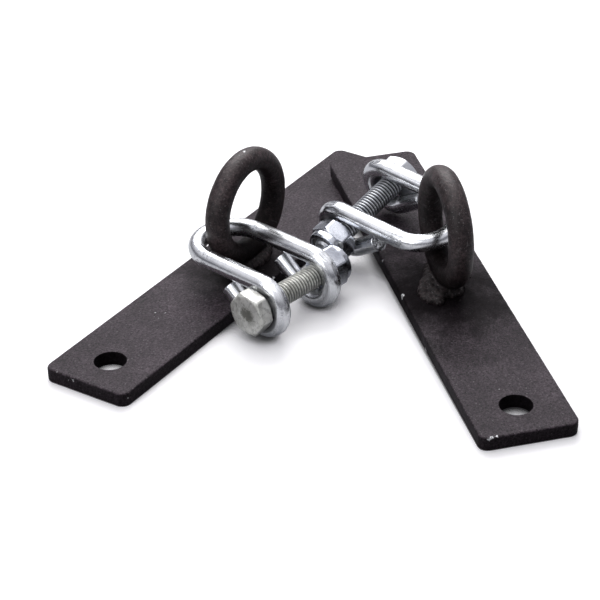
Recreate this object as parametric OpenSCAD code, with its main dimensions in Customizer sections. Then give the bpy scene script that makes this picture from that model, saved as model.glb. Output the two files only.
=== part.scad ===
// Pair of bolt-down roof anchors. Each anchor is a flat steel bar with a
// round-bar ring welded upright at its middle and a bent-rod shackle hooked
// through the ring. The shackle is closed by a hex bolt and a nylon-insert
// lock nut. Anchor A lies flat; anchor B rests with its far end on anchor A.
// Frame: origin at the middle of the underside of base plate A, +X along
// plate A towards the crossed ends, +Z up, millimetres.

/* [Base plate] */
// Length of the flat bar
plate_l = 218; // [216:1:224]
// Width of the flat bar
plate_w = 40; // [38:1:44]
// Thickness of the flat bar
plate_t = 6; // [5.8:0.1:6]
// Corner radius seen from above
corner_r = 4; // [1:0.5:8]
// Diameter of the roof-screw hole near each end
hole_d = 13; // [9:0.5:14]
// Distance from each end of the bar to its hole centre
hole_inset = 17.6; // [14:0.1:22]

/* [Ring] */
// Round bar diameter of the welded ring
ring_rod_d = 10.4; // [9:0.1:10.4]
// Diameter of the ring along the centre of its bar
ring_d = 41.4; // [41:0.1:42]
// Root gap between ring and plate that the weld fills
ring_gap = 0.3; // [0.1:0.1:0.5]
// Where ring A was welded, along the plate and across it, from the middle
ring_a_shift = [2.4, -2.2];
// Where ring B was welded, along the plate and across it, from the middle
ring_b_shift = [-0.7, -0.1];

/* [Weld] */
// Length of the fillet weld round the foot of the ring
weld_l = 25; // [20:1:30]
// Width of the fillet weld across the ring
weld_w = 17; // [15:0.5:20]
// Height of the fillet weld
weld_h = 5; // [4:0.5:6]

/* [Shackle] */
// Diameter of the bent rod
rod_d = 7.7; // [7:0.1:7.7]
// Spacing of the two arms, centre to centre
arm_gap = 30.5; // [30.5:0.1:31]
// Straight length from the bolt axis to the start of the bow
arm_l = 31; // [31:0.5:33]
// Radius of each bolt eye along the centre of the rod
eye_r = 9.9; // [9.9:0.1:10.2]
// How far each eye wraps past straight below the bolt, in degrees
eye_wrap = 38; // [20:1:38]
// Length of the straight end after each eye
leg_l = 15.8; // [8:0.1:15.8]

/* [Bolt and nut] */
// Thread outside diameter
thread_d = 9.8; // [9:0.05:9.8]
// Length of the bolt under its head
bolt_l = 50; // [46:1:52]
// Width across the flats of the head and the nut
hex_af = 17; // [14:0.5:17]
// Height of the bolt head
head_h = 6.4; // [5:0.1:7]
// Overall height of the lock nut
nut_h = 11; // [10.6:0.1:11.2]
// Height of the lock nut's hexagonal part
nut_hex_h = 7.8; // [7.4:0.1:8]
// Play left under the bolt head and under the nut
end_play = 0.1; // [0.05:0.05:0.3]
// Running gap round the thread inside the nut and its insert
thread_gap = 0.05; // [0.02:0.01:0.08]

/* [Layout] */
// Angle between the two base plates, in degrees
plate_angle = 47.64; // [47:0.1:48]
// Place of the near end of plate B on the ground, along X
near_b_x = -48.09; // [-48.5:0.1:-48]
// Place of the near end of plate B on the ground, along Y
near_b_y = -165.41; // [-166:0.1:-165]
// Upward tilt of plate B, which rests on plate A, in degrees
tilt_b = 1.95; // [1.95:0.01:2.2]
// Place of the bolt eyes of shackle A, centre of the bolt axis
shackle_a_at = [-20.34, -38.48, 13.77];
// Turn of shackle A about the vertical, in degrees
shackle_a_turn = -9.39; // [-10:0.1:-9]
// Place of the bolt eyes of shackle B, centre of the bolt axis
shackle_b_at = [43.02, -37.32, 22.18];
// Turns of shackle B about X, then Y, then Z, in degrees
shackle_b_turn = [-4.42, 15.41, 171.42];
// Turn of bolt A's head about its own axis, in degrees
head_a_turn = 36; // [0:1:59]
// Turn of bolt B's head about its own axis, in degrees
head_b_turn = 42; // [0:1:59]
// Turn of nut A about its own axis, in degrees
nut_a_turn = 58; // [0:1:59]
// Turn of nut B about its own axis, in degrees
nut_b_turn = 2; // [0:1:59]

/* [Hidden] */
$fn = 64;
sweep_fn = 96;        // facets round the ring, the eyes and the bow
overcut = 1;          // how far a cutter runs past the face it opens

// Ring
ring_rod_r = ring_rod_d / 2;
ring_r = ring_d / 2;
ring_z = plate_t + ring_gap + ring_rod_r + ring_r;   // height of the ring centre

// Weld bead: three overlapping cones in a row along the plate
weld_flank = 3.4;     // drop in radius from foot to top
weld_end_foot = 0.15; // how much less the end cones' foot radius is
weld_end_top = 0.1;   // how much less the end cones' top radius is
weld_rise = 0.2;      // gain in height from each cone to the next, towards +X
weld_clear = 0.02;    // gap between bead and ring

// Shackle
rod_r = rod_d / 2;
leg_y = eye_r * sin(eye_wrap);                        // where each straight end starts
leg_z = -eye_r * cos(eye_wrap);
leg_step = 0.02;      // the straight end is a hair thinner than the bent rod

// Bolt and nut
seat_x = arm_gap / 2 + rod_r + end_play;              // where head and nut seat
hex_r = hex_af / 2 / cos(30);                         // hexagon corner radius
blank_r = hex_r + 0.3;                                // round blank, clear of the corners
bore_r = thread_d / 2 + thread_gap;
head_bevel_h = 1.2;
head_bevel_r = hex_af / 2 - 0.4;                      // radius of the head's outer face
tip_h = 1.1;                                          // tapered end of the thread
tip_d = thread_d - 2;
shank_root = 0.5;                                     // shank's run into the head

nut_bevel_h = 1;
nut_bevel_r = hex_af / 2 - 0.3;                       // radius of the nut's seat face
collar_z = nut_hex_h - 0.5;                           // collar starts inside the hexagon
collar_r = hex_af / 2 - 0.2;
lip_h = 1;                                            // tapered top of the collar
lip_r = hex_af / 2 - 1.1;
pocket_z = nut_hex_h - 0.4;                           // groove that holds the insert
pocket_r = 6.9;
pocket_h = 2.6;
mouth_r = 6.2;                                        // wide bore at the nut's top
mouth_h = 2;
insert_fit = 0.04;                                    // gap below and round the insert
insert_h = 2.5;
insert_cut_h = 5;                                     // cutter for the insert's bore

// Colours
black = [0.10, 0.09, 0.10];
ring_black = [0.14, 0.13, 0.14];
weld_black = [0.07, 0.06, 0.07];
nylon_black = [0.12, 0.11, 0.10];
zinc = [0.78, 0.80, 0.84];
dull_zinc = [0.66, 0.67, 0.62];

// ---- Placement ----
module on_plate_b()
    translate([near_b_x, near_b_y, 0])
        rotate([0, 0, plate_angle]) rotate([0, -tilt_b, 0])
            translate([plate_l / 2, 0, 0]) children();

module on_shackle_a()
    translate(shackle_a_at) rotate([0, 0, shackle_a_turn]) children();

module on_shackle_b()
    translate(shackle_b_at) rotate(shackle_b_turn) children();

// Stands a part that is built up Z along the bolt axis, its base at x = start
module along_bolt(start)
    translate([start, 0, 0]) rotate([0, 90, 0]) children();

// ---- Base plate: flat bar, rounded corners, one hole near each end ----
module plate_solid() {
    corner_x = plate_l / 2 - corner_r;
    corner_y = plate_w / 2 - corner_r;
    difference() {
        union() {
            translate([-plate_l / 2, -corner_y, 0]) cube([plate_l, 2 * corner_y, plate_t]);
            translate([-corner_x, -plate_w / 2, 0]) cube([2 * corner_x, plate_w, plate_t]);
            for (sx = [-1, 1], sy = [-1, 1])
                translate([sx * corner_x, sy * corner_y, 0])
                    cylinder(r = corner_r, h = plate_t);
        }
        for (sx = [-1, 1])
            translate([sx * (plate_l / 2 - hole_inset), 0, -overcut])
                cylinder(d = hole_d, h = plate_t + 2 * overcut);
    }
}

// ---- Ring: a closed loop of round bar standing on edge ----
module ring_solid(shift, grow = 0)
    translate([shift[0], shift[1], ring_z]) rotate([90, 0, 0])
        rotate_extrude($fn = sweep_fn)
            translate([ring_r, 0]) circle(r = ring_rod_r + grow);

// ---- Weld bead: a low fillet round the foot of the ring ----
module weld_solid(shift) {
    cone_step = (weld_l - weld_w) / 2;
    difference() {
        translate([shift[0], shift[1], plate_t])
            for (i = [-1, 0, 1])
                translate([i * cone_step, 0, 0])
                    cylinder(r1 = weld_w / 2 - weld_end_foot * abs(i),
                             r2 = weld_w / 2 - weld_flank - weld_end_top * abs(i),
                             h = weld_h + weld_rise * i);
        ring_solid(shift, grow = weld_clear);
    }
}

// ---- Shackle: one rod, bent to a U, each end curled into a bolt eye ----
// The bolt axis is X; the bow lies towards +Y; the arms pass above the bolt.
module eye_arc()
    // curl from the top of the eye, round its -Y side, to past the bottom
    rotate([0, 90, 0]) rotate([0, 0, 180])
        rotate_extrude(angle = 180 + eye_wrap, $fn = sweep_fn)
            translate([eye_r, 0]) circle(r = rod_r);

module closing_leg()
    // straight end that rises from the eye towards the arm
    translate([0, leg_y, leg_z]) rotate([-90 + eye_wrap, 0, 0])
        cylinder(r = rod_r - leg_step, h = leg_l);

module bow_arc()
    rotate_extrude(angle = 180, $fn = sweep_fn)
        translate([arm_gap / 2, 0]) circle(r = rod_r);

module shackle_solid()
    union() {
        translate([0, arm_l, eye_r]) bow_arc();
        for (sx = [-1, 1]) translate([sx * arm_gap / 2, 0, 0]) {
            translate([0, 0, eye_r]) rotate([-90, 0, 0]) cylinder(r = rod_r, h = arm_l);
            eye_arc();
            closing_leg();
        }
    }

// ---- Hexagon with its lower corners bevelled ----
// It is what a hexagonal prism and a round blank, coned at its foot, share.
module bevelled_hex(hex_h, foot_r, bevel_h, blank_h)
    intersection() {
        cylinder(r = hex_r, h = hex_h, $fn = 6);
        union() {
            cylinder(r1 = foot_r, r2 = blank_r, h = bevel_h);
            translate([0, 0, bevel_h]) cylinder(r = blank_r, h = blank_h);
        }
    }

// ---- Hex bolt: head towards -X, fully threaded shank towards +X ----
module bolt_solid(turn)
    along_bolt(-seat_x) {
        rotate([0, 0, turn]) translate([0, 0, -head_h])
            bevelled_hex(head_h, head_bevel_r, head_bevel_h, blank_h = head_h);
        translate([0, 0, -shank_root])
            cylinder(d = thread_d, h = bolt_l - tip_h + shank_root);
        translate([0, 0, bolt_l - tip_h]) cylinder(d1 = thread_d, d2 = tip_d, h = tip_h);
    }

// ---- Lock nut: hexagon, then a round collar that holds the insert ----
module nut_solid(turn)
    along_bolt(seat_x) rotate([0, 0, turn]) difference() {
        union() {
            bevelled_hex(nut_hex_h, nut_bevel_r, nut_bevel_h, blank_h = nut_h);
            translate([0, 0, collar_z]) cylinder(r = collar_r, h = nut_h - lip_h - collar_z);
            translate([0, 0, nut_h - lip_h]) cylinder(r1 = collar_r, r2 = lip_r, h = lip_h);
        }
        translate([0, 0, -overcut]) cylinder(r = bore_r, h = nut_h + 2 * overcut);
        translate([0, 0, pocket_z]) cylinder(r = pocket_r, h = pocket_h);
        translate([0, 0, nut_h - mouth_h]) cylinder(r = mouth_r, h = mouth_h + overcut);
    }

// ---- Nylon insert: a plain ring seated in the nut's collar ----
module insert_solid()
    along_bolt(seat_x + pocket_z + insert_fit) difference() {
        cylinder(r = pocket_r - insert_fit, h = insert_h);
        translate([0, 0, -overcut]) cylinder(r = bore_r, h = insert_cut_h);
    }

// ---- Nodes of anchor A ----
module anchor_a_base_plate() color(black) plate_solid();
module anchor_a_ring() color(ring_black) ring_solid(ring_a_shift);
module anchor_a_weld_bead() color(weld_black) weld_solid(ring_a_shift);
module shackle_a_bow() color(zinc) on_shackle_a() shackle_solid();
module bolt_a_hex_bolt() color(dull_zinc) on_shackle_a() bolt_solid(head_a_turn);
module nut_a_lock_nut() color(zinc) on_shackle_a() nut_solid(nut_a_turn);
module nut_a_nylon_insert() color(nylon_black) on_shackle_a() insert_solid();

// ---- Nodes of anchor B ----
module anchor_b_base_plate() color(black) on_plate_b() plate_solid();
module anchor_b_ring() color(ring_black) on_plate_b() ring_solid(ring_b_shift);
module anchor_b_weld_bead() color(weld_black) on_plate_b() weld_solid(ring_b_shift);
module shackle_b_bow() color(zinc) on_shackle_b() shackle_solid();
module bolt_b_hex_bolt() color(zinc) on_shackle_b() bolt_solid(head_b_turn);
module nut_b_lock_nut() color(zinc) on_shackle_b() nut_solid(nut_b_turn);
module nut_b_nylon_insert() color(nylon_black) on_shackle_b() insert_solid();

anchor_a_base_plate();
anchor_a_ring();
anchor_a_weld_bead();
shackle_a_bow();
bolt_a_hex_bolt();
nut_a_lock_nut();
nut_a_nylon_insert();
anchor_b_base_plate();
anchor_b_ring();
anchor_b_weld_bead();
shackle_b_bow();
bolt_b_hex_bolt();
nut_b_lock_nut();
nut_b_nylon_insert();
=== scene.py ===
import math
import random
from collections import namedtuple

import bmesh
import bpy
import numpy as np
from mathutils import Matrix, Vector, noise


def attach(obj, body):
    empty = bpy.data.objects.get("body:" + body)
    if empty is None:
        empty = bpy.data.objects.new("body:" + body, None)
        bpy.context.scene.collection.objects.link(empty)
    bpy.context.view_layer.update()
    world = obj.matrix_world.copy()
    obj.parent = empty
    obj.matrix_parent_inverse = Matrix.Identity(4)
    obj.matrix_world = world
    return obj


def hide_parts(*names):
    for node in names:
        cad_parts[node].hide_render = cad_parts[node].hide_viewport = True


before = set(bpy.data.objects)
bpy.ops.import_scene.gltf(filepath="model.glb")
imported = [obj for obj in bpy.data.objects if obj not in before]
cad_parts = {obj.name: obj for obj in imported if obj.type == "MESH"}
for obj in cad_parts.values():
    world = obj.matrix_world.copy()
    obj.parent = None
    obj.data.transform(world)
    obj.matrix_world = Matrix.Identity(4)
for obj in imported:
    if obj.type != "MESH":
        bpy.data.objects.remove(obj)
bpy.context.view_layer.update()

MM = 0.001

# ---------------------------------------------------------------- sizes, in millimetres
PLATE_L, PLATE_W, PLATE_T, CORNER_R = 218.0, 40.0, 6.0, 4.0
HOLE_R = 6.5
HOLE_X = PLATE_L / 2 - 17.6                  # hole centre from the plate's middle

RING_R, RING_BAR_R, RING_Z = 20.7, 5.2, 32.2  # centreline radius, bar radius, centre height
RING_XY_A, RING_XY_B = (2.4, -2.2), (-0.7, -0.1)

ROD_R = 3.85                                 # shackle rod radius
ARM_GAP, ARM_L = 30.5, 31.0                  # between arm centrelines; length of a straight arm
EYE_R, WRAP, LEG = 9.9, math.radians(38), 15.8  # eye centreline, curl past half a turn, tail
SEAT = ARM_GAP / 2 + ROD_R + 0.1             # where head and nut bear, from the middle

HEX_AF, HEAD_H, NUT_H, NUT_HEX_H = 17.0, 6.4, 11.0, 7.8
THREAD_R, THREAD_DEPTH, PITCH, BOLT_L = 4.9, 0.86, 1.5, 50.0


# ---------------------------------------------------------------- placement
def turn(x, y, z):
    """Rotation matrix for turns in degrees about X, then Y, then Z."""
    x, y, z = (math.radians(angle) for angle in (x, y, z))
    about_x = np.array([[1, 0, 0], [0, math.cos(x), -math.sin(x)], [0, math.sin(x), math.cos(x)]])
    about_y = np.array([[math.cos(y), 0, math.sin(y)], [0, 1, 0], [-math.sin(y), 0, math.cos(y)]])
    about_z = np.array([[math.cos(z), -math.sin(z), 0], [math.sin(z), math.cos(z), 0], [0, 0, 1]])
    return about_z @ about_y @ about_x


# letter is the copy of the product a piece belongs to and ends its names
Place = namedtuple("Place", "letter rotation origin")

PLATE_B_TURN = turn(0, -1.95, 47.64)
PLATE_B_END = np.array([-48.09, -165.41, 0.0])   # middle of plate B's -X end, underside
ANCHOR_A = Place("a", np.eye(3), np.zeros(3))
ANCHOR_B = Place("b", PLATE_B_TURN, PLATE_B_END + PLATE_B_TURN @ np.array([PLATE_L / 2, 0, 0]))
SHACKLE_A = Place("a", turn(0, 0, -9.39), np.array([-20.34, -38.48, 13.77]))
SHACKLE_B = Place("b", turn(-4.42, 15.41, 171.42), np.array([43.02, -37.32, 22.18]))


# ---------------------------------------------------------------- mesh helpers
def build(name, part, body, place, verts, faces, material, extra=None, sharp=None):
    """Place a mesh given in local millimetres and let it ride on its body.

    extra maps attribute names to one number or vector per vertex; edges bent by more
    than sharp radians are shaded hard.
    """
    local = np.asarray(verts, float)
    mesh_name = f"{name}_{place.letter}"
    mesh = bpy.data.meshes.new(mesh_name)
    placed = (local @ place.rotation.T + place.origin) * MM
    mesh.from_pydata(placed.tolist(), [], [tuple(int(i) for i in face) for face in faces])
    for key, values in {"local": local, **(extra or {})}.items():
        values = np.asarray(values, np.float32)
        if values.ndim == 2:
            attribute = mesh.attributes.new(key, "FLOAT_VECTOR", "POINT")
            attribute.data.foreach_set("vector", values.ravel())
        else:
            attribute = mesh.attributes.new(key, "FLOAT", "POINT")
            attribute.data.foreach_set("value", values)
    bm = bmesh.new()
    bm.from_mesh(mesh)
    bmesh.ops.recalc_face_normals(bm, faces=bm.faces)
    for face in bm.faces:
        face.smooth = True
    if sharp is not None:
        for edge in bm.edges:
            if len(edge.link_faces) == 2 and edge.calc_face_angle(0) > sharp:
                edge.smooth = False
    bm.to_mesh(mesh)
    bm.free()
    ob = bpy.data.objects.new(mesh_name, mesh)
    bpy.context.scene.collection.objects.link(ob)
    mesh.materials.append(material)
    body_name = f"{body}_{place.letter}"
    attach(ob, body_name)
    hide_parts(f"{body_name}_{part}")


def band(a, b, flip=False):
    """Quads between two closed rings of equal size."""
    for j in range(len(a)):
        k = (j + 1) % len(a)
        yield (a[j], b[j], b[k], a[k]) if flip else (a[j], a[k], b[k], b[j])


def fan(ring, centre, flip=False):
    """Triangles from a closed ring to a centre vertex."""
    for j in range(len(ring)):
        k = (j + 1) % len(ring)
        yield (ring[j], centre, ring[k]) if flip else (ring[j], ring[k], centre)


def skin(count, size, closed=False, base=0):
    """Quads along count successive rings of size vertices; closed joins the last to the first."""
    rings = [range(base + i * size, base + (i + 1) * size) for i in range(count)]
    if closed:
        rings.append(rings[0])
    return [quad for a, b in zip(rings, rings[1:]) for quad in band(a, b)]


def angles(count):
    return [2 * math.pi * j / count for j in range(count)]


def clamp(value):
    return min(1.0, max(0.0, value))


def bell(value, centre, width):
    return math.exp(-((value - centre) / width) ** 2)


def uneven(point, scale, seed):
    """Smooth fractal noise around zero; seed shifts the place it is read at."""
    x, y, z = point
    at = Vector((x * scale + seed, y * scale + 1.7 * seed, z * scale - seed))
    return noise.fractal(at, 1.0, 2.0, 3)


# ---------------------------------------------------------------- shader helpers
NOISE_SPAN = (0.3, 0.7)                      # range that most of a noise texture falls in


class Nodes:
    """The emptied node tree of a material or world, with short ways to add nodes."""

    def __init__(self, owner):
        owner.use_nodes = True
        self.tree = owner.node_tree
        self.tree.nodes.clear()

    def node(self, kind):
        return self.tree.nodes.new("ShaderNode" + kind)

    def put(self, socket, value):
        """Link a socket, or set a value; three numbers become an opaque colour."""
        if isinstance(value, bpy.types.NodeSocket):
            self.tree.links.new(value, socket)
        elif isinstance(value, tuple) and len(value) == 3 and socket.type == "RGBA":
            socket.default_value = (*value, 1.0)
        else:
            socket.default_value = value

    def attribute(self, name, output):
        node = self.node("Attribute")
        node.attribute_name = name
        return node.outputs[output]

    def vector_of(self, name):
        return self.attribute(name, "Vector")

    def number_of(self, name):
        return self.attribute(name, "Fac")

    def vector(self, operation, a, b=None, scale=None):
        node = self.node("VectorMath")
        node.operation = operation
        self.put(node.inputs[0], a)
        if b is not None:
            self.put(node.inputs[1], b)
        if scale is not None:
            self.put(node.inputs["Scale"], scale)
        single = operation in ("DISTANCE", "LENGTH", "DOT_PRODUCT")
        return node.outputs["Value" if single else "Vector"]

    def calc(self, operation, a, b, c=0.0):
        node = self.node("Math")
        node.operation = operation
        for i, value in enumerate((a, b, c)):
            self.put(node.inputs[i], value)
        return node.outputs[0]

    def times(self, a, b):
        return self.calc("MULTIPLY", a, b)

    def times_add(self, a, factor, added):
        return self.calc("MULTIPLY_ADD", a, factor, added)

    def noise(self, at, scale, detail=2.0, rough=0.5, distortion=0.0, output="Fac"):
        node = self.node("TexNoise")
        self.put(node.inputs["Vector"], at)
        node.inputs["Scale"].default_value = scale
        node.inputs["Detail"].default_value = detail
        node.inputs["Roughness"].default_value = rough
        node.inputs["Distortion"].default_value = distortion
        return node.outputs[output]

    def ramp(self, factor, stops):
        """Colour ramp; stops are (position, grey level or colour) in rising order."""
        stops = [(at, (c, c, c, 1) if isinstance(c, float) else (*c, 1)) for at, c in stops]
        node = self.node("ValToRGB")
        elements = node.color_ramp.elements
        for element, (at, color) in zip(elements, (stops[0], stops[-1])):
            element.position = at
            element.color = color
        for at, color in stops[1:-1]:
            elements.new(at).color = color
        self.put(node.inputs[0], factor)
        return node.outputs[0]

    def mask(self, factor, start, end):
        """Black below start, white above end."""
        return self.ramp(factor, [(start, 0.0), (end, 1.0)])

    def remap(self, value, span, to=(0.0, 1.0)):
        node = self.node("MapRange")
        for i, item in enumerate((value, *span, *to)):
            self.put(node.inputs[i], item)
        return node.outputs[0]

    def mix(self, factor, a, b, mode="MIX"):
        node = self.node("Mix")
        node.data_type = "RGBA"
        node.blend_type = mode
        self.put(node.inputs[0], factor)
        self.put(node.inputs[6], a)
        self.put(node.inputs[7], b)
        return node.outputs[2]

    def shade(self, color, level):
        """Multiply a colour by a grey level."""
        return self.mix(1.0, color, self.vector("SCALE", (1.0, 1.0, 1.0), scale=level), "MULTIPLY")

    def bump(self, height, distance, strength):
        node = self.node("Bump")
        node.inputs["Distance"].default_value = distance
        node.inputs["Strength"].default_value = strength
        self.put(node.inputs["Height"], height)
        return node.outputs[0]


class Surface(Nodes):
    """A new material with one Principled shader."""

    def __init__(self, name):
        self.material = bpy.data.materials.new(name)
        super().__init__(self.material)
        output = self.node("OutputMaterial")
        self.shader = self.node("BsdfPrincipled")
        self.put(output.inputs[0], self.shader.outputs[0])

    def finish(self, **inputs):
        for key, value in inputs.items():
            self.put(self.shader.inputs[key.replace("_", " ")], value)
        return self.material


# ---------------------------------------------------------------- black powder coat
def coat(name, low, high, rough, grain_scale, depth, mottle,
         spec=0.15, chips=(), scuff=0.0, foot_shade=(), shaded=False):
    """Black powder coat: sand grain between two colours, cloudy sheen and dust specks.

    chips: (centre, radius) of spots worn to bright metal.
    soot: (centre, inner radius, outer radius, strength) of painted shadow round a ring's foot,
    which also dulls the shine there.
    shaded: darken by the mesh's "lit" attribute.
    """
    mat = Surface(name)
    local = mat.vector_of("local")
    grain = mat.noise(local, scale=grain_scale, rough=0.75)
    fine = mat.noise(local, scale=grain_scale * 2.3, rough=0.6)
    cloud = mat.noise(local, scale=0.055, detail=4.0, rough=0.55)
    patch = mat.noise(local, scale=0.45, detail=3.0, rough=0.6)
    tone = mat.times_add(grain, factor=0.62, added=mat.times(fine, 0.38))
    color = mat.ramp(tone, [(0.39, low), (0.61, high)])
    level = mat.remap(cloud, NOISE_SPAN, to=(1.0 - 0.30 * mottle, 1.0 + 0.25 * mottle))
    level = mat.times(
        level, mat.remap(patch, NOISE_SPAN, to=(1.0 - 0.22 * mottle, 1.0 + 0.20 * mottle)))
    color = mat.shade(color, level)
    dust = mat.mask(mat.noise(local, scale=1.15, detail=1.0, rough=0.4), start=0.67, end=0.74)
    color = mat.mix(mat.times(dust, 0.30), color, (0.30, 0.28, 0.29))
    shine = spec
    if shaded:
        color = mat.shade(color, mat.number_of("lit"))
        shine = mat.times(mat.number_of("lit"), spec)

    # painted shadow: near black round a ring's foot, where the ring and the shackle shade the
    # plate, with less shine
    for centre, inner, outer, strength in foot_shade:
        away = mat.vector("DISTANCE", local, centre)
        ragged = mat.calc("SUBTRACT", mat.noise(local, scale=0.11, detail=4.0, rough=0.65), 0.5)
        away = mat.times_add(ragged, factor=(outer - inner) * 1.1, added=away)
        foot_shading = mat.remap(away, (outer, inner), to=(0.0, strength))
        color = mat.mix(foot_shading, color, (0.0028, 0.0020, 0.0024))
        shine = mat.times(shine, mat.times_add(foot_shading, factor=-0.85, added=1.0))

    roughness = mat.remap(grain, NOISE_SPAN, to=(rough - 0.07, rough + 0.09))
    height = mat.calc("ADD", mat.times(grain, 1.0), mat.times(fine, 0.45))
    metallic = 0.0
    if scuff:
        streaks = mat.noise(local, scale=0.20, detail=4.0, rough=0.7, distortion=0.8)
        rubbed = mat.times(mat.mask(streaks, start=0.60, end=0.74), scuff)
        color = mat.mix(rubbed, color, (0.13, 0.125, 0.13))

    if chips:
        # chip outlines are made ragged by shifting the point they are measured from
        shift = mat.noise(local, scale=0.9, output="Color")
        shift = mat.vector("SCALE", mat.vector("SUBTRACT", shift, (0.5, 0.5, 0.5)), scale=2.2)
        shifted = mat.vector("ADD", local, shift)
        bare = None
        for centre, radius in chips:
            away = mat.vector("DISTANCE", shifted, centre)
            chip = mat.remap(away, (radius, radius * 0.72))
            bare = chip if bare is None else mat.calc("MAXIMUM", bare, chip)
        bare = mat.calc("MINIMUM", bare, 1.0)
        broken = mat.noise(local, scale=2.2, rough=0.6)
        bare = mat.times(bare, mat.ramp(broken, [(0.40, 0.15), (0.52, 1.0)]))
        color = mat.mix(bare, color, (0.82, 0.82, 0.84))
        metallic = mat.times(bare, 0.55)
        roughness = mat.times_add(bare, factor=-0.22, added=roughness)
        height = mat.times_add(bare, factor=-1.6, added=height)
    return mat.finish(Base_Color=color, Roughness=roughness, Metallic=metallic,
                      Normal=mat.bump(height, distance=depth, strength=0.9),
                      Specular_IOR_Level=shine)


# chips: ((x, y, z), radius) in the anchor frame
CHIPS_A = [
    ((-53.1, 6.2, 6.0), 0.55), ((-50.9, 2.7, 6.0), 0.45), ((-48.2, 5.0, 6.0), 0.35),
    ((-55.6, 2.2, 6.0), 0.35), ((-109.0, 5.1, 4.9), 0.65), ((-109.0, 7.4, 4.3), 0.40),
    ((-108.9, 13.1, 6.0), 0.5), ((-106.5, -20.0, 3.6), 0.6), ((-4.0, -20.0, 5.9), 0.9),
    ((64.0, 20.0, 5.9), 0.8), ((109.0, -8.0, 5.8), 0.8), ((-20.0, 20.0, 1.5), 0.9),
]
CHIPS_B = [
    ((22.0, 20.0, 5.5), 0.75), ((-6.5, 20.0, 5.6), 1.35), ((-108.6, 15.4, 6.0), 1.05),
    ((-108.4, 13.4, 6.0), 0.75), ((-108.9, 16.9, 5.6), 0.85), ((-80.0, 3.0, 6.0), 0.35),
    ((-70.0, -20.0, 5.8), 0.8), ((48.0, -20.0, 5.9), 0.7), ((-40.0, 20.0, 1.0), 0.8),
]
RING_CHIPS = [((RING_XY_A[0] + 0.5, RING_XY_A[1], 58.0), 0.8), ((3.9, 5.0, 43.0), 0.4)]
# painted shadow round a ring's foot: ((x, y, z), inner radius, outer radius, strength)
FOOT_SHADE_A = [((-3.0, -3.5, PLATE_T), 13.0, 31.0, 0.93)]
FOOT_SHADE_B = [((-5.0, 7.0, PLATE_T), 13.0, 38.0, 0.86), ((-24.0, -1.0, PLATE_T), 10.0, 48.0, 0.60)]
PLATE_COAT = dict(low=(0.0058, 0.0036, 0.0050), high=(0.073, 0.057, 0.069), rough=0.58,
                  grain_scale=0.98, depth=0.00024, mottle=1.25, shaded=True)

plate_coat_a = coat("plate_coat_a", **PLATE_COAT, foot_shade=FOOT_SHADE_A, chips=CHIPS_A)
plate_coat_b = coat("plate_coat_b", **PLATE_COAT, foot_shade=FOOT_SHADE_B, chips=CHIPS_B)
ring_coat = coat("ring_coat", low=(0.0165, 0.0110, 0.0120), high=(0.072, 0.053, 0.055),
                 rough=0.44, grain_scale=0.95, depth=0.00020, mottle=2.3, spec=0.29,
                 scuff=0.40, shaded=True, chips=RING_CHIPS)
weld_coat = coat("weld_coat", low=(0.0030, 0.0022, 0.0025), high=(0.034, 0.025, 0.026),
                 rough=0.55, grain_scale=0.9, depth=0.00030, mottle=1.9, spec=0.16, scuff=0.34)


# ---------------------------------------------------------------- zinc plating
def head_face_wear_and_shade(mat, local, color, marks):
    """Bolt head face: painted shade in the shallow hollow in the middle, rubbed bright round it,
    scattered dull spots.
    """
    radius = mat.vector("LENGTH", mat.vector("MULTIPLY", local, (0.0, 1.0, 1.0)))
    along = mat.vector("DOT_PRODUCT", local, (1.0, 0.0, 0.0))
    on_face = mat.remap(along, (-SEAT - 5.2, -SEAT - 5.9))
    blots = mat.noise(local, scale=0.55, detail=3.0, rough=0.7, distortion=1.0)
    # painted shade in the shallow hollow in the middle of the face
    ragged = mat.times_add(mat.calc("SUBTRACT", blots, 0.5), factor=9.0, added=radius)
    middle = mat.times(mat.remap(ragged, (3.9, 1.9)), on_face)
    worn_ring = mat.times(mat.remap(radius, (3.2, 4.2)), mat.remap(radius, (7.6, 6.6)))
    worn_ring = mat.times(worn_ring, on_face)
    spots = mat.noise(local, scale=0.42, detail=3.0, rough=0.7, distortion=0.5)
    spots = mat.mask(spots, start=0.50, end=0.58)
    # dull spots on the face, and the painted shade in the middle
    dull = mat.times(mat.calc("MAXIMUM", mat.times(spots, 0.45), middle), marks)
    color = mat.mix(dull, color, (0.11, 0.11, 0.10))
    rubbed = mat.noise(mat.vector("MULTIPLY", local, (1.0, 2.0, 0.6)),
                       scale=0.62, detail=3.0, rough=0.65, distortion=0.8)
    rubbed = mat.mask(rubbed, start=0.50, end=0.55)
    return mat.mix(mat.times(mat.times(rubbed, worn_ring), 0.9), color, (1.0, 1.0, 0.98))


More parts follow.
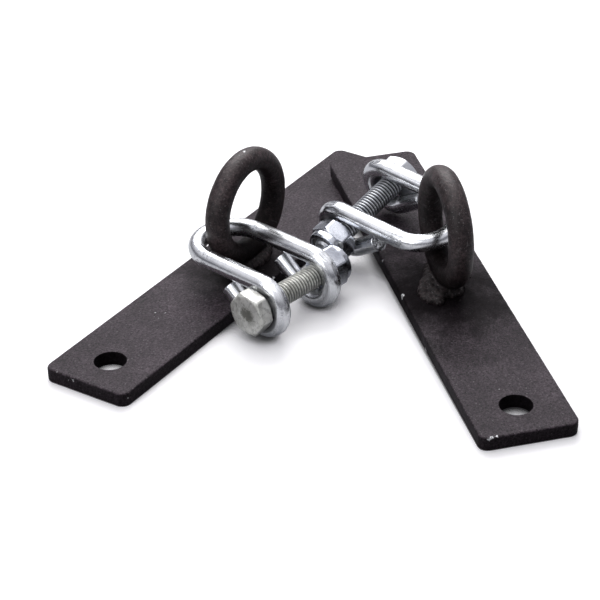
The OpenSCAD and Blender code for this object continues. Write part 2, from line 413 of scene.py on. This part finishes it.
def zinc(name, light, dark, rough, fine, drawn=False, yellow=0.0, metal=1.0, marks=0.0, root=0.93):
    """Cloudy zinc plating with small dark stains.

    fine scales the bump, drawn adds lines along the rod, yellow is a warm tint, marks sets
    the dull spots and the painted shade in the hollow of a bolt head, and root sets the painted
    shade in thread roots and crevices, where the "deep" attribute is high.
    """
    mat = Surface(name)
    local = mat.vector_of("local")
    if drawn:
        rod = mat.vector_of("rod")
        line = mat.noise(mat.vector("MULTIPLY", rod, (0.035, 2.6, 2.6)), scale=1.0)
        fine_line = mat.noise(mat.vector("MULTIPLY", rod, (0.12, 9.0, 9.0)), scale=1.0)
        worked = mat.number_of("work")
    else:
        line = mat.noise(local, scale=0.22)
        fine_line = mat.noise(local, scale=1.6)
        worked = 0.0
    cloud = mat.noise(local, scale=0.30, detail=4.0, rough=0.6, distortion=0.6)
    blotch = mat.noise(local, scale=0.85, detail=3.0, rough=0.65, distortion=0.4)
    tone = mat.times_add(line, factor=0.55, added=mat.times(cloud, 0.45))
    color = mat.ramp(tone, [(0.32, dark), (0.56, light)])
    stain = mat.times(mat.mask(blotch, start=0.50, end=0.64),
                      mat.times_add(worked, factor=0.85, added=0.10))
    color = mat.mix(stain, color, (0.10, 0.10, 0.115))
    if marks:
        color = head_face_wear_and_shade(mat, local, color, marks)
    # painted shade in thread roots and in the crevices round the shackle eyes
    deep = mat.number_of("deep")
    color = mat.mix(mat.times(deep, root), color, (0.035, 0.035, 0.036))
    if yellow:
        color = mat.mix(mat.times(cloud, yellow), color, (0.60, 0.57, 0.40))
    roughness = mat.remap(line, NOISE_SPAN, to=(rough - 0.05, rough + 0.10))
    roughness = mat.times_add(stain, factor=0.25, added=roughness)
    roughness = mat.times_add(deep, factor=0.25, added=roughness)
    height = mat.times_add(line, factor=0.6, added=mat.times(fine_line, 0.25))
    return mat.finish(Base_Color=color, Metallic=metal, Roughness=roughness,
                      Normal=mat.bump(height, distance=0.00003 * fine, strength=0.35))


rod_zinc = zinc("rod_zinc", light=(0.84, 0.85, 0.87), dark=(0.60, 0.62, 0.65),
                rough=0.215, fine=0.6, drawn=True)
nut_zinc = zinc("nut_zinc", light=(0.60, 0.62, 0.67), dark=(0.42, 0.44, 0.49),
                rough=0.20, fine=0.6)
bolt_a_zinc = zinc("bolt_a_zinc", light=(0.96, 0.96, 0.925), dark=(0.66, 0.66, 0.62),
                   rough=0.34, fine=2.2, yellow=0.14, metal=0.45, marks=0.80, root=0.80)
bolt_b_zinc = zinc("bolt_b_zinc", light=(0.66, 0.67, 0.70), dark=(0.46, 0.48, 0.52),
                   rough=0.36, fine=0.8, metal=0.9)


# ---------------------------------------------------------------- nylon
def nylon_material():
    mat = Surface("nylon")
    local = mat.vector_of("local")
    cloud = mat.noise(local, scale=0.9, detail=3.0, rough=0.6)
    fine = mat.noise(local, scale=4.0)
    color = mat.ramp(cloud, [(0.3, (0.050, 0.046, 0.044)), (0.7, (0.120, 0.112, 0.105))])
    return mat.finish(Base_Color=color, Roughness=mat.remap(fine, NOISE_SPAN, to=(0.38, 0.55)),
                      Normal=mat.bump(fine, distance=0.00004, strength=0.6),
                      Subsurface_Weight=0.08)


nylon = nylon_material()

# ---------------------------------------------------------------- base plate
EDGE_ROUND = 0.75                            # rounding of the plate's outer edges
HOLE_ROUND_TOP, HOLE_ROUND_BOTTOM = 0.30, 0.15


def outline(inset, corner_steps=14, step=1.6):
    """Rounded rectangle moved inwards by inset, with its long sides divided."""
    corner_x, corner_y = PLATE_L / 2 - CORNER_R, PLATE_W / 2 - CORNER_R
    radius = CORNER_R - inset
    corners = []
    for sign_x, sign_y, start in ((1, 1, 0), (-1, 1, 90), (-1, -1, 180), (1, -1, 270)):
        for i in range(corner_steps + 1):
            a = math.radians(start + 90 * i / corner_steps)
            corners.append((sign_x * corner_x + radius * math.cos(a),
                            sign_y * corner_y + radius * math.sin(a)))
    points = []
    for p, q in zip(corners, corners[1:] + corners[:1]):
        length = math.hypot(q[0] - p[0], q[1] - p[1])
        parts = max(1, int(round(length / step))) if length > 3.0 else 1
        for j in range(parts):
            points.append((p[0] + (q[0] - p[0]) * j / parts, p[1] + (q[1] - p[1]) * j / parts))
    return points


def rim_profile(top, bottom, land, steps, wall):
    """(distance into the metal, z) from the top flat, down the wall, to the bottom flat."""
    rows = [(top + land, PLATE_T), (top, PLATE_T)]
    for i in range(1, steps + 1):
        a = math.radians(90 * i / steps)
        rows.append((top - top * math.sin(a), PLATE_T - top + top * math.cos(a)))
    rows += [(0.0, float(z)) for z in wall]
    for i in range(steps + 1):
        a = math.radians(90 * i / steps)
        rows.append((bottom - bottom * math.cos(a), bottom - bottom * math.sin(a)))
    rows.append((bottom + land, 0.0))
    return rows


def outer_loops(bm, seed):
    """Vertex loops round the plate's edge, slightly uneven on the wall."""
    wall = np.linspace(PLATE_T - EDGE_ROUND - 0.55, EDGE_ROUND + 0.55, 5)
    loops = []
    for inset, z in rim_profile(EDGE_ROUND, EDGE_ROUND, land=0.6, steps=5, wall=wall):
        edge = 1.0 if inset < EDGE_ROUND * 0.98 else 0.0
        loop = []
        for x, y in outline(inset):
            dent = uneven((x, y, z), 0.28, seed) * 0.10 * edge
            dent += uneven((x, y, z), 0.9, seed + 3) * 0.05 * edge
            out_x = 0.0 if abs(x) < PLATE_L / 2 - CORNER_R else math.copysign(1.0, x)
            out_y = 0.0 if abs(y) < PLATE_W / 2 - CORNER_R else math.copysign(1.0, y)
            size = max(1.0, math.hypot(out_x, out_y))
            loop.append(bm.verts.new((x - out_x / size * abs(dent),
                                      y - out_y / size * abs(dent), z)))
        loops.append(loop)
    return loops


def hole_loops(bm, side, seed):
    """Vertex loops down a bolt hole, at -X or +X by the sign of side."""
    loops = []
    for grow, z in rim_profile(HOLE_ROUND_TOP, HOLE_ROUND_BOTTOM, land=0.5, steps=4,
                               wall=(4.2, 3.0, 1.8)):
        loop = []
        for a in angles(72):
            dent = 0.0
            if grow < 0.1:
                at = (side * 50 + math.cos(a) * 6, math.sin(a) * 6, z)
                dent = 0.06 * uneven(at, 0.5, seed)
            radius = HOLE_R + grow + abs(dent)
            loop.append(bm.verts.new((side * HOLE_X + radius * math.cos(a),
                                      radius * math.sin(a), z)))
        loops.append(loop)
    return loops


def plate_light(x, y, z):
    """How much light a point keeps: least in the holes, less on the edges."""
    from_hole = math.hypot(abs(x) - HOLE_X, y) - HOLE_R
    if from_hole < 0.22 and z < PLATE_T - 0.05:
        return 0.16
    return 0.52 if 0.1 < z < PLATE_T - 0.45 and from_hole > 0.6 else 1.0


def plate(place, material, seed):
    bm = bmesh.new()
    rims = []
    for side in (0, -1, 1):                  # the outer edge, then the two holes
        loops = hole_loops(bm, side, seed) if side else outer_loops(bm, seed)
        for a, b in zip(loops, loops[1:]):
            for quad in band(a, b, flip=bool(side)):
                bm.faces.new(quad)
        rims.append(loops)
    for end in (0, -1):                      # the top face, then the bottom face
        edges = [bm.edges.get((loops[end][j], loops[end][(j + 1) % len(loops[end])]))
                 for loops in rims for j in range(len(loops[end]))]
        bmesh.ops.triangle_fill(bm, use_beauty=True, use_dissolve=False, edges=edges)
    bmesh.ops.recalc_face_normals(bm, faces=bm.faces)
    bm.verts.index_update()
    verts = [tuple(v.co) for v in bm.verts]
    faces = [[v.index for v in face.verts] for face in bm.faces]
    bm.free()
    build("base_plate", "base_plate", "anchor", place, verts, faces, material,
          extra={"lit": [plate_light(*v) for v in verts]})


plate(ANCHOR_A, plate_coat_a, seed=1.0)
plate(ANCHOR_B, plate_coat_b, seed=5.0)


# ---------------------------------------------------------------- ring
def ring(place, centre_xy, seed):
    around_ring, around_bar = 192, 48
    verts, lit = [], []
    for a in angles(around_ring):
        ca, sa = math.cos(a), math.sin(a)
        for b in angles(around_bar):
            cb, sb = math.cos(b), math.sin(b)
            wave = 0.10 * uneven((ca * 20, sb * 5, sa * 20), 0.10, seed)
            wave += 0.045 * uneven((ca * 20 + cb * 4, sb * 5, sa * 20), 0.45, seed + 2)
            # the bar is slightly flattened on the outside of the bend
            flat = -0.12 * max(0.0, cb) ** 6
            bar = RING_BAR_R - 0.05 + wave + flat
            radius = RING_R + bar * cb
            z = RING_Z + radius * sa
            verts.append((centre_xy[0] + radius * ca, centre_xy[1] + bar * sb, z))
            # painted shade: the inside of the ring and its foot are the darkest
            outer = clamp(0.62 + 0.60 * cb)
            above_foot = clamp((z - 9.0) / 18.0)
            lit.append((0.24 + 0.76 * outer) * (0.16 + 0.84 * above_foot))
    build("ring", "ring", "anchor", place, verts, skin(around_ring, around_bar, closed=True),
          ring_coat, extra={"lit": lit})


ring(ANCHOR_A, RING_XY_A, seed=11.0)
ring(ANCHOR_B, RING_XY_B, seed=17.0)


# ---------------------------------------------------------------- weld bead
def weld_blobs(bm, seed, heavy):
    """Overlapping ellipsoids round the ring's foot, centred on the origin in X and Y."""
    draw = random.Random(seed).uniform

    def blob(x, y, z, size_x, size_y, size_z, yaw=0.0):
        matrix = (Matrix.Translation((x, y, z)) @ Matrix.Rotation(yaw, 4, "Z")
                  @ Matrix.Diagonal((size_x, size_y, size_z, 1)))
        bmesh.ops.create_icosphere(bm, subdivisions=3, radius=1.0, matrix=matrix)

    blob(0, 0, PLATE_T + 0.9, 10.2, 5.2, 2.4)
    ripples = 11
    for side in (-1, 1):
        for i in range(ripples):
            u = -1 + 2 * i / (ripples - 1)
            x = u * 11.0 + draw(-0.25, 0.25)
            y = side * (5.3 - 2.6 * u * u) + draw(-0.35, 0.35)
            size = 2.75 - 0.55 * u * u + draw(-0.25, 0.3)
            blob(x, y, PLATE_T + 0.55 + draw(-0.15, 0.25),
                 size * 0.82, size, size * 0.90, draw(-0.5, 0.5) - side * u * 0.8)
            # second pass, higher and nearer to the bar
            if abs(u) < 0.85:
                blob(x * 0.9 + 0.4, y * 0.62, PLATE_T + 1.9 + 1.2 * u * u + draw(-0.2, 0.3),
                     size * 0.72, size * 0.80, size * 0.78, draw(-0.4, 0.4))
    # both ends of the foot
    for end in (-1, 1):
        for k in range(3):
            blob(end * (11.6 - 0.7 * k), draw(-0.8, 0.8), PLATE_T + 0.6 + 0.7 * k,
                 1.9, 2.2, 1.8, draw(-1, 1))
    # a heavy run of metal on the +Y side of the foot
    for k in range(heavy):
        x = -15.5 + 17.5 * k / (heavy - 1) + draw(-0.8, 0.8)
        y = 6.2 + 4.6 * math.sin(math.pi * (k + 0.8) / (heavy + 0.6)) + draw(-0.9, 0.9)
        blob(x, y, PLATE_T + 0.25 + draw(-0.1, 0.4),
             draw(1.7, 2.8), draw(1.9, 3.1), draw(1.3, 2.2), draw(-1.2, 1.2))
        blob(x * 0.8, y * 0.62 + 0.6, PLATE_T + 0.9 + draw(-0.2, 0.5),
             draw(1.8, 2.6), draw(1.8, 2.8), draw(1.6, 2.3), draw(-1.2, 1.2))
    # a few spatter beads beside the weld
    for _ in range(5):
        a = draw(0, 6.283)
        size = draw(0.32, 0.6)
        blob(15.5 * math.cos(a) * draw(0.95, 1.1), 9.5 * math.sin(a) * draw(0.95, 1.2),
             PLATE_T + size * 0.35, size, size, size * 0.8)


def weld(place, centre_xy, seed, heavy=0):
    """The blobs merged into one closed skin and roughened."""
    raw_name = f"weld_bead_{place.letter}_raw"
    bm = bmesh.new()
    weld_blobs(bm, seed, heavy)
    mesh = bpy.data.meshes.new(raw_name)
    bm.to_mesh(mesh)
    bm.free()
    raw = bpy.data.objects.new(raw_name, mesh)
    bpy.context.scene.collection.objects.link(raw)
    merge = raw.modifiers.new("merge", "REMESH")
    merge.mode = "VOXEL"
    merge.voxel_size = 0.38
    soften = raw.modifiers.new("soft", "SMOOTH")
    soften.factor = 0.5
    soften.iterations = 2
    bpy.context.view_layer.update()
    evaluated = raw.evaluated_get(bpy.context.evaluated_depsgraph_get())
    merged = evaluated.to_mesh()
    points = [(Vector(v.co), Vector(v.normal)) for v in merged.vertices]
    faces = [tuple(p.vertices) for p in merged.polygons]
    evaluated.to_mesh_clear()
    bpy.data.objects.remove(raw)
    bpy.data.meshes.remove(mesh)
    verts = []
    for point, normal in points:
        lift = 0.16 * uneven(point, 0.55, seed) + 0.10 * uneven(point, 1.4, seed + 4)
        x, y, z = point + normal * lift
        verts.append((x + centre_xy[0], y + centre_xy[1], max(z, PLATE_T - 0.6)))
    build("weld_bead", "weld_bead", "anchor", place, verts, faces, weld_coat)


weld(ANCHOR_A, RING_XY_A, seed=21)
weld(ANCHOR_B, RING_XY_B, seed=34, heavy=12)


# ---------------------------------------------------------------- shackle
def side_path():
    """((y, z), (outward y, z), kind, along) from a cut end, round the eye, to the bow.

    along is millimetres on the leg and arm, and radians round the eye.
    """
    cos_wrap, sin_wrap = math.cos(WRAP), math.sin(WRAP)
    path = []
    for i in range(20):
        u = LEG * (1 - i / 20)
        path.append(((EYE_R * sin_wrap + u * cos_wrap, -EYE_R * cos_wrap + u * sin_wrap),
                     (sin_wrap, -cos_wrap), "leg", u))
    for i in range(84):
        t = (math.pi + WRAP) * (1 - i / 84)
        path.append(((-EYE_R * math.sin(t), EYE_R * math.cos(t)),
                     (-math.sin(t), math.cos(t)), "eye", t))
    for i in range(34):
        u = ARM_L * i / 34
        path.append(((u, EYE_R), (0.0, 1.0), "arm", u))
    return path


def shackle_path():
    """(centre, up, inward, kind, along) from one cut end to the other; along the bow, degrees."""
    half_gap = ARM_GAP / 2

    def side(sign, path):
        return [(np.array([sign * half_gap, *yz]), np.array([0, *up]),
                 np.array([-float(sign), 0, 0]), kind, u) for yz, up, kind, u in path]

    bow = []
    for i in range(81):
        a = math.pi - math.pi * i / 80
        centre = np.array([half_gap * math.cos(a), ARM_L + half_gap * math.sin(a), EYE_R])
        bow.append((centre, np.array([0, 0, 1.0]), np.array([-math.cos(a), -math.sin(a), 0]),
                    "bow", math.degrees(a)))
    path = side_path()
    return side(-1, path) + bow + side(1, path[::-1])


def flatten(radius, facing, depth):
    """Cut a flat of this depth across the rod; facing is the cosine to the flat's normal."""
    return min(radius, (ROD_R - depth) / facing) if facing > 0.05 else radius


def rod_section(kind, u, ca, sa):
    """Rod radius and amount of working; ca points up or out of the eye, sa to the middle."""
    radius, work = ROD_R, 0.0
    if kind == "eye":
        degrees = math.degrees(u)
        # the outside of the curl is drawn flatter
        radius -= 0.10 * max(0.0, ca) ** 4
        # flat where the arm turns down into the eye, and one on the curl's outer flank
        radius = flatten(radius, ca, 0.62 * bell(degrees, 26, 15))
        radius = flatten(radius, -sa, 0.60 * bell(degrees, 52, 24))
        work = 0.55 * bell(degrees, 14, 9) + 0.35 * bell(degrees, 70, 16)
    elif kind == "arm":
        radius = flatten(radius, ca, 0.30 * bell(u, 0, 2.2))
        work = 0.45 * bell(u, 0, 3.0) + 0.9 * bell(u, ARM_L, 4.5)
    elif kind == "bow":
        radius -= 0.13 * max(0.0, -sa) ** 4
        work = 0.9 * bell(u, 180, 14) + 0.9 * bell(u, 0, 14) + 0.30 * bell(u, 90, 30)
    return radius, work


def eye_crevice_shade(point):
    """Painted shade in the crevice under the head and nut, and inside the eye beside the thread.
    """
    away = math.hypot(point[1], point[2])
    seat = clamp((abs(point[0]) - SEAT + 0.9) / 0.4) * clamp((11.1 - away) / 0.8)
    return max(0.85 * seat, 0.72 * clamp((7.6 - away) / 1.0))


def shackle(place, seed):
    path = shackle_path()
    size = 56
    phase = random.Random(seed).uniform(0, 50)
    verts, rod, work, deep = [], [], [], []

    def add(point, rod_at, worked, crevice_darkness):
        verts.append(point)
        rod.append(rod_at)
        work.append(worked)
        deep.append(crevice_darkness)

    length, previous = 0.0, path[0][0]
    for centre, up, inward, kind, u in path:
        length += float(np.linalg.norm(centre - previous))
        previous = centre
        for a in angles(size):
            ca, sa = math.cos(a), math.sin(a)
            radius, worked = rod_section(kind, u, ca, sa)
            radius += (0.030 * uneven((length * 0.10, ca * 1.6, sa * 1.6), 1.0, phase)
                       + 0.006 * uneven((length * 0.7, ca * 2.5, sa * 2.5), 1.0, phase + 9))
            point = centre + up * (radius * ca) + inward * (radius * sa)
            # the eyes get painted shade in the crevices by the head and nut and beside the thread
            add(point, (length, ca, sa), worked, eye_crevice_shade(point) if kind == "eye" else 0.0)
    faces = skin(len(path), size)

    # sheared ends: a small round edge, then a nearly flat face set a little out of square
    outward = np.array([0, math.cos(WRAP), math.sin(WRAP)]) * 0.9
    end_rows = [(ROD_R - 0.12, 0.12), (ROD_R - 0.34, 0.24), (ROD_R - 1.2, 0.27),
                (ROD_R - 2.4, 0.20)]         # (radius, rise)
    for end, first, at in ((0, 0, 0.0), (-1, (len(path) - 1) * size, length)):
        centre, up, inward = path[end][:3]
        rings = [range(first, first + size)]
        for radius, rise in end_rows:
            rings.append(range(len(verts), len(verts) + size))
            for a in angles(size):
                ca, sa = math.cos(a), math.sin(a)
                lip = 0.10 * uneven((ca * 1.5, sa * 1.5, end), 1.0, phase)
                point = (centre + up * (radius * ca) + inward * (radius * sa)
                         + outward * (rise + lip - 0.05 * radius * ca))
                add(point, (at, ca * radius / ROD_R, sa * radius / ROD_R), 0.3, 0.0)
        middle = len(verts)
        add(centre + outward * 0.15, (at, 0.0, 0.0), 0.3, 0.0)
        for a, b in zip(rings, rings[1:]):
            faces += band(a, b, flip=end == -1)
        faces += fan(rings[-1], middle, flip=end == -1)
    build("shackle", "bow", "shackle", place, verts, faces, rod_zinc,
          extra={"rod": rod, "work": work, "deep": deep}, sharp=math.radians(42))


shackle(SHACKLE_A, seed=3)
shackle(SHACKLE_B, seed=8)


# ---------------------------------------------------------------- bolt and nut helpers
def hex_radius(a, turn_deg, soft):
    """Distance from the axis to a hexagon's side at angle a, with corners cut back by soft."""
    u = math.radians((math.degrees(a) - turn_deg) % 60.0 - 30.0)
    corner = HEX_AF / 2 / math.cos(math.radians(30))
    return min(HEX_AF / 2 / math.cos(u), corner - soft + 0.04 * math.cos(u * 6))


def around(x, radius, a):
    """Local point at x along the bolt axis; the angle starts at -Z and turns towards +Y."""
    return (x, radius * math.sin(a), -radius * math.cos(a))


def revolve(rows, size, side=1, hexagon=None):
    """Rings for (x from the seat, radius) rows; a radius of None is taken from hexagon(x, a)."""
    return [around(side * (SEAT + x), hexagon(x, a) if radius is None else radius, a)
            for x, radius in rows for a in angles(size)]


def close_ends(verts, faces, base, count, size, start, end):
    """Fan the first and last of count rings to the points start and end."""
    centre = len(verts)
    last = base + (count - 1) * size
    verts += [start, end]
    for pair in zip(fan(range(base, base + size), centre),
                    fan(range(last, last + size), centre + 1, flip=True)):
        faces += pair


# ---------------------------------------------------------------- hex bolt
def thread(verts, faces):
    """The threaded shank; returns how deep in the thread each of its ring vertices lies, for
    painted shade in the roots.
    """
    size, steps_per_pitch = 64, 14
    start, end = -SEAT - 0.4, -SEAT + BOLT_L
    count = int(round((end - start) / PITCH * steps_per_pitch)) + 1
    deep = []
    for i in range(count):
        x = start + (end - start) * i / (count - 1)
        to_end = end - x
        under_head = x - (-SEAT)
        for a in angles(size):
            phase = (x / PITCH - a / (2 * math.pi)) % 1.0
            cut = clamp((abs(phase - 0.5) * 2 - 0.16) / 0.62)
            cut = cut * cut * (3 - 2 * cut) * 0.35 + cut * 0.65
            # the tip is chamfered
            radius = min(THREAD_R - THREAD_DEPTH * cut, THREAD_R - 1.05 + to_end * 0.95)
            if under_head <= 0.2:
                radius = THREAD_R - THREAD_DEPTH * 0.5
            elif under_head < 2.0:
                radius = min(radius, THREAD_R - THREAD_DEPTH * 0.75)
            verts.append(around(x, radius, a))
            # how deep a point lies in the thread, for painted shade in the roots
            depth = clamp((THREAD_R - 0.06 - radius) / (THREAD_DEPTH * 0.75))
            deep.append(depth if to_end > 1.0 else 0.0)
    faces += skin(count, size)
    close_ends(verts, faces, 0, count, size, (start, 0, 0), (end + 0.02, 0, 0))
    return deep


def bolt_head(verts, faces, turn_deg, seed):
    size = 180
    face_r = HEX_AF / 2 - 0.45
    base = len(verts)

    def hexagon(x, a):
        chamfer = face_r + (HEAD_H - x) * 1.75   # 30 degree chamfer
        foot = 8.55 + (x - 0.32) * 6.0
        return min(hex_radius(a, turn_deg, soft=0.22), chamfer, foot)

    # (x from the seat, radius): the bearing face, then the sides
    rows = [(0.0, 4.2), (0.0, 7.9), (0.25, 8.05), (0.32, 8.6)]
    rows += [(x, None) for x in (0.38, 0.8, 1.4, 2.2, 3.0, 3.8, 4.4, 4.8, 5.05, 5.25, 5.45,
                                 5.65, 5.85, 6.05, 6.2, 6.3)]
    verts += revolve(rows, size, side=-1, hexagon=hexagon)
    # (x from the seat, radius): the outer face, with a shallow hollow in the middle
    crown = [(6.36, face_r - 0.15), (HEAD_H, face_r - 0.5), (HEAD_H, face_r - 1.2),
             (HEAD_H - 0.01, 6.2), (HEAD_H - 0.02, 5.2), (HEAD_H - 0.12, 4.4),
             (HEAD_H - 0.38, 3.7), (HEAD_H - 0.50, 2.9), (HEAD_H - 0.55, 2.0),
             (HEAD_H - 0.57, 1.0)]
    for x, radius in crown:
        for a in angles(size):
            lift = 0.0
            if radius < face_r - 0.3:
                lift = 0.045 * uneven((math.cos(a) * radius, math.sin(a) * radius, x), 0.45, seed)
            verts.append(around(-SEAT - x - lift, radius, a))
    count = len(rows) + len(crown)
    faces += skin(count, size, base=base)
    close_ends(verts, faces, base, count, size, (-SEAT, 0, 0), (-SEAT - HEAD_H + 0.57, 0, 0))


def bolt(place, material, turn_deg, seed):
    verts, faces = [], []
    deep = thread(verts, faces)
    bolt_head(verts, faces, turn_deg, seed)
    deep += [0.0] * (len(verts) - len(deep))
    build("hex_bolt", "hex_bolt", "bolt", place, verts, faces, material,
          extra={"deep": deep}, sharp=math.radians(28))


bolt(SHACKLE_A, bolt_a_zinc, turn_deg=36, seed=2.0)
bolt(SHACKLE_B, bolt_b_zinc, turn_deg=42, seed=6.0)


# ---------------------------------------------------------------- lock nut
def nut(place, turn_deg):
    size = 180
    bore = THREAD_R + 0.06
    collar = HEX_AF / 2 - 0.2
    bend_x, bend_r = NUT_H - 1.1, collar - 0.22  # where the collar starts to round over

    def hexagon(x, a):
        seat_chamfer = HEX_AF / 2 - 0.35 + x * 0.95
        collar_chamfer = HEX_AF / 2 + 0.02 + (NUT_HEX_H - x) * 1.25
        return min(hex_radius(a, turn_deg, soft=0.18), seat_chamfer, collar_chamfer)

    # (x from the seat, radius): bearing face, hexagon, collar, then back down the inside
    rows = [(0.75, bore), (0.0, bore + 0.75), (0.0, 7.6), (0.18, 7.9)]
    rows += [(x, None) for x in (0.2, 0.35, 0.55, 0.8, 1.1, 1.5, 2.2, 3.0, 4.0, 5.0, 5.8, 6.3,
                                 6.6, 6.85, 7.1, 7.3, 7.5, 7.65, 7.75)]
    rows += [(7.82, collar - 0.02), (7.95, collar - 0.12), (8.4, collar - 0.14),
             (9.2, collar - 0.16), (bend_x, bend_r)]
    for i in range(1, 7):
        t = math.radians(90 * i / 6)
        rows.append((bend_x + 1.1 * math.sin(t), bend_r - 1.35 * (1 - math.cos(t))))
    rows += [(NUT_H, 6.55), (10.9, 6.3), (10.6, 6.2), (10.05, 6.2), (10.02, 6.85),
             (NUT_HEX_H - 0.38, 6.89), (NUT_HEX_H - 0.4, bore), (5.0, bore), (2.8, bore)]
    build("lock_nut", "lock_nut", "nut", place, revolve(rows, size, hexagon=hexagon),
          skin(len(rows), size, closed=True), nut_zinc, sharp=math.radians(30))


nut(SHACKLE_A, turn_deg=58)
nut(SHACKLE_B, turn_deg=2)


# ---------------------------------------------------------------- nylon insert
def insert(place):
    """The nylon ring held inside the nut's collar."""
    size = 96
    start, end = NUT_HEX_H - 0.36, NUT_HEX_H + 2.14
    bore = THREAD_R + 0.055
    rows = [(start, bore + 0.15), (start, 6.6), (start + 0.15, 6.82), (end - 0.2, 6.82),
            (end - 0.05, 6.7), (end, 6.4), (end + 0.02, 5.8), (end - 0.05, 5.3),
            (end - 0.3, bore + 0.05), (end - 0.8, bore), (start + 0.4, bore)]
    build("nylon_insert", "nylon_insert", "nut", place, revolve(rows, size),
          skin(len(rows), size, closed=True), nylon, sharp=math.radians(40))


insert(SHACKLE_A)
insert(SHACKLE_B)


# ---------------------------------------------------------------- floor (metres from here on)
def floor_material():
    mat = Surface("floor_paper")
    position = mat.node("TexCoord").outputs["Object"]
    cloud = mat.noise(position, scale=9.0, detail=3.0)
    rays = mat.node("LightPath").outputs
    paper = mat.ramp(cloud, [(0.3, (0.86, 0.855, 0.87)), (0.7, (0.89, 0.885, 0.895))])
    # the paper lifts the undersides less than it shows to the eye
    bounced = mat.mix(rays["Is Glossy Ray"], (0.05, 0.05, 0.052), (0.52, 0.52, 0.54))
    # painted shade: deep corners, such as the foot of a bolt hole's wall, go dark
    occlusion = mat.node("AmbientOcclusion")
    occlusion.samples = 12
    occlusion.inputs["Distance"].default_value = 0.014
    openness = mat.remap(occlusion.outputs["AO"], (0.32, 0.50), to=(0.08, 1.0))
    seen = mat.times(rays["Is Camera Ray"], openness)
    paper = mat.shade(paper, openness)
    # the floor stays pale away from the lights
    away = mat.vector("LENGTH", position)
    glow = mat.remap(away, (0.30, 1.30), to=(0.24, 0.88))
    return mat.finish(Base_Color=mat.mix(rays["Is Camera Ray"], bounced, paper), Roughness=0.55,
                      Specular_IOR_Level=0.2, Emission_Color=(0.97, 0.955, 1.0),
                      Emission_Strength=mat.times(seen, glow))


def floor():
    half, z = 3.0, -0.00005                  # just below the plates
    mesh = bpy.data.meshes.new("floor")
    corners = [(-half, -half, z), (half, -half, z), (half, half, z), (-half, half, z)]
    mesh.from_pydata(corners, [], [(0, 1, 2, 3)])
    ob = bpy.data.objects.new("floor", mesh)
    bpy.context.scene.collection.objects.link(ob)
    mesh.materials.append(floor_material())


floor()


# ---------------------------------------------------------------- lights
def softbox(name, location, target, size, power, color):
    """Rectangular area light; size is its width and height."""
    light = bpy.data.lights.new(name, "AREA")
    light.energy = power
    light.color = color
    light.shape = "RECTANGLE"
    light.size, light.size_y = size
    ob = bpy.data.objects.new(name, light)
    ob.location = location
    ob.rotation_mode = "QUATERNION"
    ob.rotation_quaternion = (Vector(target) - Vector(location)).to_track_quat("-Z", "Y")
    bpy.context.scene.collection.objects.link(ob)


softbox("softbox_top", location=(0.12, 0.08, 0.85), target=(0.0, -0.05, 0.0),
        size=(0.75, 0.75), power=3.7, color=(1.0, 0.995, 0.985))
softbox("softbox_back", location=(0.58, 0.40, 0.70), target=(0.0, -0.05, 0.02),
        size=(0.80, 0.66), power=7.6, color=(1.0, 1.0, 1.0))
softbox("softbox_left", location=(-0.75, 0.10, 0.55), target=(0.0, -0.05, 0.02),
        size=(0.62, 0.62), power=2.6, color=(0.98, 0.99, 1.0))

# ---------------------------------------------------------------- world
# (height in the sky, colour): 0 is straight down, 1 straight up
SKY_BANDS = [
    (0.0, (0.5, 0.5, 0.52)), (0.46, (0.30, 0.30, 0.32)), (0.56, (0.13, 0.13, 0.148)),
    (0.66, (0.27, 0.27, 0.295)), (0.76, (0.64, 0.64, 0.68)), (1.0, (0.95, 0.95, 1.0)),
]


def studio_world():
    """Banded surroundings that light the pieces; the camera itself sees an even pale sky."""
    world = bpy.data.worlds.new("studio")
    bpy.context.scene.world = world
    nodes = Nodes(world)
    output = nodes.node("OutputWorld")
    surroundings = nodes.node("Background")
    direction = nodes.node("SeparateXYZ")
    nodes.put(direction.inputs[0], nodes.node("NewGeometry").outputs["Incoming"])
    height = nodes.remap(direction.outputs["Z"], (1.0, -1.0))
    nodes.put(surroundings.inputs[0], nodes.ramp(height, SKY_BANDS))
    rays = nodes.node("LightPath").outputs
    # stronger in reflections than as light
    strength = nodes.remap(rays["Is Glossy Ray"], (0.0, 1.0), to=(0.38, 1.05))
    nodes.put(surroundings.inputs[1], strength)
    sky = nodes.node("Background")
    nodes.put(sky.inputs[0], (0.93, 0.925, 0.95))
    nodes.put(sky.inputs[1], 1.0)
    pick = nodes.node("MixShader")
    nodes.put(pick.inputs[0], rays["Is Camera Ray"])
    nodes.put(pick.inputs[1], surroundings.outputs[0])
    nodes.put(pick.inputs[2], sky.outputs[0])
    nodes.put(output.inputs[0], pick.outputs[0])


studio_world()

# ---------------------------------------------------------------- camera and view
CAMERA_AT = (-0.6604429, -0.4745085, 0.4804688)
CAMERA_RIGHT = Vector((0.546636, -0.8370599, -0.0228))
CAMERA_UP = Vector((0.4460949, 0.2680604, 0.8538987))
CAMERA_FORWARD = Vector((0.7086525, 0.4769427, -0.5199396))

camera_data = bpy.data.cameras.new("camera")
camera_data.sensor_width = 36.0
camera_data.lens = 132.40476
camera_data.clip_start = 0.02
camera_data.clip_end = 20.0
camera = bpy.data.objects.new("camera", camera_data)
bpy.context.scene.collection.objects.link(camera)
camera_axes = Matrix((CAMERA_RIGHT, CAMERA_UP, -CAMERA_FORWARD)).transposed().to_4x4()
camera.matrix_world = Matrix.Translation(CAMERA_AT) @ camera_axes
bpy.context.scene.camera = camera

view = bpy.context.scene.view_settings
view.view_transform = "Standard"
view.look = "None"
view.exposure = 0.0
